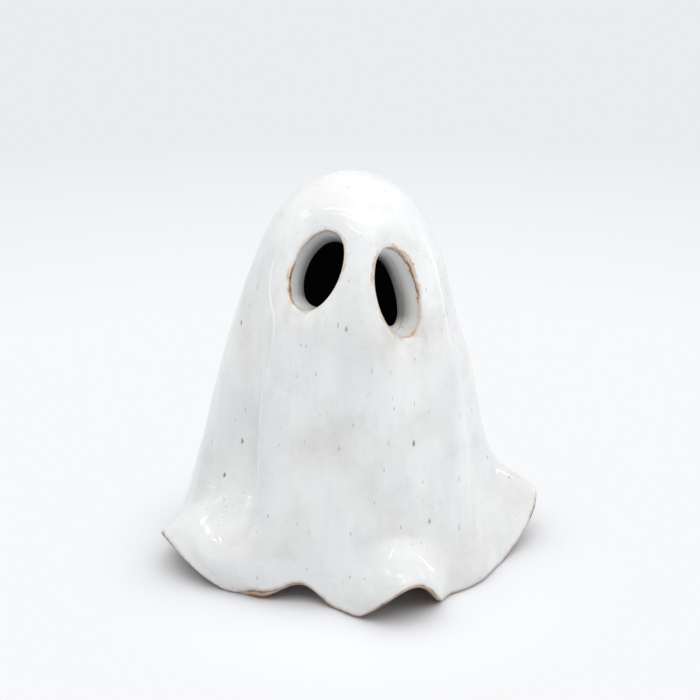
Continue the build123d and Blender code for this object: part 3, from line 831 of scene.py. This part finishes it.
# %% [markdown]
# ## Metals of the candle
# Four metals are inside: tinned lamp wire, zinc-plated screws, the nickel-plated can of the coin cell
# and brass contact strips. All are bare metal with a thin film on it, so they share one plan: a colour
# that drifts between clean and dulled, and a shine that is uneven along the drawn or rolled direction.

# %% Metal finishes
# name, clean and dulled colour, smoothest and roughest shine, width of the marks in mm, how far they
# are drawn out
METALS = {
    "tinned_wire": ("tinned_copper_wire", "#cfd0d2", "#a9aaac", 0.22, 0.42, 0.25, 6.0),
    "zinc_steel": ("zinc_plated_steel", "#c3c7cc", "#b3ae9c", 0.25, 0.45, 0.6, 1.0),
    "cell_steel": ("nickel_plated_steel", "#d6d5d1", "#bdbbb5", 0.16, 0.32, 0.5, 12.0),
    "contact_metal": ("rolled_brass", "#d0aa5c", "#a98343", 0.20, 0.42, 0.4, 8.0),
}
finishes = {"ivory_plastic": ivory, "flame_plastic": milky, "black_plastic": black, "lamp_lens": epoxy}
for slot, (name, clean, dulled, smooth, rough, wide, long) in METALS.items():
    metal, tree, shader, coords = new_finish(name)
    marks = noise(tree, drawn_out(tree, coords, (1 / long, 1, 1)), wide, detail=3)
    feed(tree, shader, {
        "Base Color": blend(tree, noise(tree, coords, mm=2.5, detail=3), clean, dulled),
        "Roughness": ramp(tree, marks, 0.0, 1.0, smooth, rough),
        "Metallic": 1.0,
    })
    finishes[slot] = metal
print(len(METALS), "metals")

# %% Give every CAD node its finish
for part in frame["record"]["subparts"]:
    finish = finishes.get(part["material_slot"])
    if finish is not None:
        for material_slot in frame["nodes"][part["node"]].material_slots:
            material_slot.material = finish
        print(part["node"], "has", finish.name)

# %% [markdown]
# ## Floor
# The pot stands on a white paper sweep that runs up behind it, so there is no horizon. Here the paper is
# a plain plane. Near the pot it is matt paper that takes the shadow, and further out it goes over into
# an even pale glow, as lit paper does in a light tent, so that floor and backdrop meet without a line.

# %% Lay the paper
FLOOR = 6.0
FLOOR_DROP = 0.02 * MM
SHADOW_FROM, SHADOW_TO = 44 * MM, 85 * MM
SWEEP_FROM, SWEEP_TO = 240 * MM, 600 * MM


def seen_directly(tree):
    """1 for rays that show a surface to the camera or in a gloss, 0 for those that only gather light."""
    ray = add(tree, "ShaderNodeLightPath").outputs
    seen = reckon(tree, "MAXIMUM", ray["Is Camera Ray"], ray["Is Glossy Ray"])
    return reckon(tree, "MAXIMUM", seen, ray["Is Transmission Ray"])


bpy.ops.object.select_all(action="DESELECT")
bpy.ops.mesh.primitive_plane_add(size=FLOOR, location=(axis_x, axis_y, -FLOOR_DROP))
floor = bpy.context.object
floor.name = "floor"
# Uncoated paper from the roll, without any shine
paper, tree, shader, coords = new_finish("matt_white_paper")
feed(tree, shader, {"Base Color": linear("#e8e9eb"), "Roughness": 0.9, "Specular IOR Level": 0.1})
away = add(tree, "ShaderNodeVectorMath", {0: coords}, operation="LENGTH").outputs["Value"]
far = ramp(tree, away, SHADOW_FROM, SHADOW_TO, ease="SMOOTHSTEP")
sweep = blend(tree, ramp(tree, away, SWEEP_FROM, SWEEP_TO), "#f8f9fb", "#ebecf0")
glow = add(tree, "ShaderNodeEmission", {"Color": sweep}).outputs["Emission"]
shown = reckon(tree, "MULTIPLY", seen_directly(tree), far)
both = add(tree, "ShaderNodeMixShader", {0: shown, 1: shader.outputs["BSDF"], 2: glow})
feed(tree, tree.nodes["Material Output"], {"Surface": both.outputs["Shader"]})
floor.data.materials.append(paper)
print("floor", FLOOR, "m wide")

# %% [markdown]
# ## Light
# The light tent's cloth gives even light from all round, which the world stands for. A roof panel and
# two side panels, the right one brighter, give it a direction; they are spread by the cloth, so their
# own shapes do not show in the gloss. What does show are lines: three rows of small lamps under the
# roof, a short piece of each row at the left, and two thin lamps low at the back that draw bright edges.

# %% Hang the lamps
TENT_LIGHT = 0.54
STRIP_HIGH, STRIP_WIDE, STRIP_BRIGHT = 0.45, 0.008, 13.0
STRIP_PLACES = (-0.105, -0.215, -0.365)
world = bpy.data.worlds.new("light_tent")
bpy.context.scene.world = world
world.use_nodes = True
tree = world.node_tree
tree.nodes.clear()
cloth = add(tree, "ShaderNodeBackground", {"Color": linear("#f6f8fc"), "Strength": TENT_LIGHT})
backdrop = add(tree, "ShaderNodeBackground", {"Color": linear("#ebecf0"), "Strength": 1.0})
both = add(tree, "ShaderNodeMixShader", {0: seen_directly(tree), 1: cloth.outputs["Background"],
                                         2: backdrop.outputs["Background"]})
add(tree, "ShaderNodeOutputWorld", {"Surface": both.outputs["Shader"]})

# place from the axis, width, depth (m) and brightness of the face, whether it is aimed at the ghost
# instead of down, and whether it shows in the gloss
LAMPS = {
    "tent_roof": ((0.0, -0.14, 0.70), 1.0, 1.0, 1.06, False, False),
    "tent_left": ((-0.60, -0.02, 0.35), 0.5, 0.5, 0.45, True, False),
    "tent_right": ((0.60, -0.08, 0.35), 0.5, 0.5, 1.35, True, False),
    "edge_left": ((-0.55, 0.10, 0.09), 0.020, 0.18, 4.0, True, True),
    "edge_right": ((0.45, 0.30, 0.09), 0.020, 0.18, 4.0, True, True),
}
for number, y in enumerate(STRIP_PLACES, 1):
    strip = (STRIP_WIDE, STRIP_BRIGHT, False, True)
    LAMPS[f"strip_{number}"] = ((0.05, y, STRIP_HIGH), 0.55, *strip)
    LAMPS[f"left_strip_{number}"] = ((-0.42, y / 2 + 0.12, STRIP_HIGH), 0.10, *strip)

axis = Vector((axis_x, axis_y, 0.0))
for name, (place, wide, deep, bright, aimed, in_gloss) in LAMPS.items():
    lamp = bpy.data.lights.new(name, "AREA")
    lamp.shape = "RECTANGLE"
    lamp.size, lamp.size_y = wide, deep
    lamp.energy = bright * math.pi * wide * deep
    held = bpy.data.objects.new(name, lamp)
    held.location = axis + Vector(place)
    if aimed:
        held.rotation_mode = "QUATERNION"
        to_ghost = Vector((0.0, 0.0, HEIGHT / 2)) - Vector(place)
        held.rotation_quaternion = to_ghost.to_track_quat("-Z", "Y")
    held.visible_camera = False
    held.visible_glossy = in_gloss
    bpy.context.scene.collection.objects.link(held)
print(len(LAMPS), "lamps")

# %% [markdown]
# ## Camera
# The camera looks down a little from straight in front, as at something on a table. It is close, with a
# longish lens, so the folds at the front come out a little larger than those at the back. The colours go
# to the picture as they are, without a film curve.

# %% Set up the camera
CAMERA_AWAY = 0.42
CAMERA_RISE = math.radians(20)
AIM_HEIGHT = 64.2 * MM
LENS, SENSOR = 75.6, 36.0
camera = bpy.data.objects.new("camera", bpy.data.cameras.new("camera"))
bpy.context.scene.collection.objects.link(camera)
camera.data.sensor_width = SENSOR
camera.data.lens = LENS
camera.data.clip_start, camera.data.clip_end = 0.01, 50.0
back = Vector((0, -math.cos(CAMERA_RISE), math.sin(CAMERA_RISE)))
camera.location = Vector((axis_x, axis_y, AIM_HEIGHT)) + back * CAMERA_AWAY
camera.rotation_mode = "QUATERNION"
camera.rotation_quaternion = (-back).to_track_quat("-Z", "Y")
bpy.context.scene.camera = camera
bpy.context.scene.view_settings.view_transform = "Standard"
print("camera", round(CAMERA_AWAY / MM), "mm away")
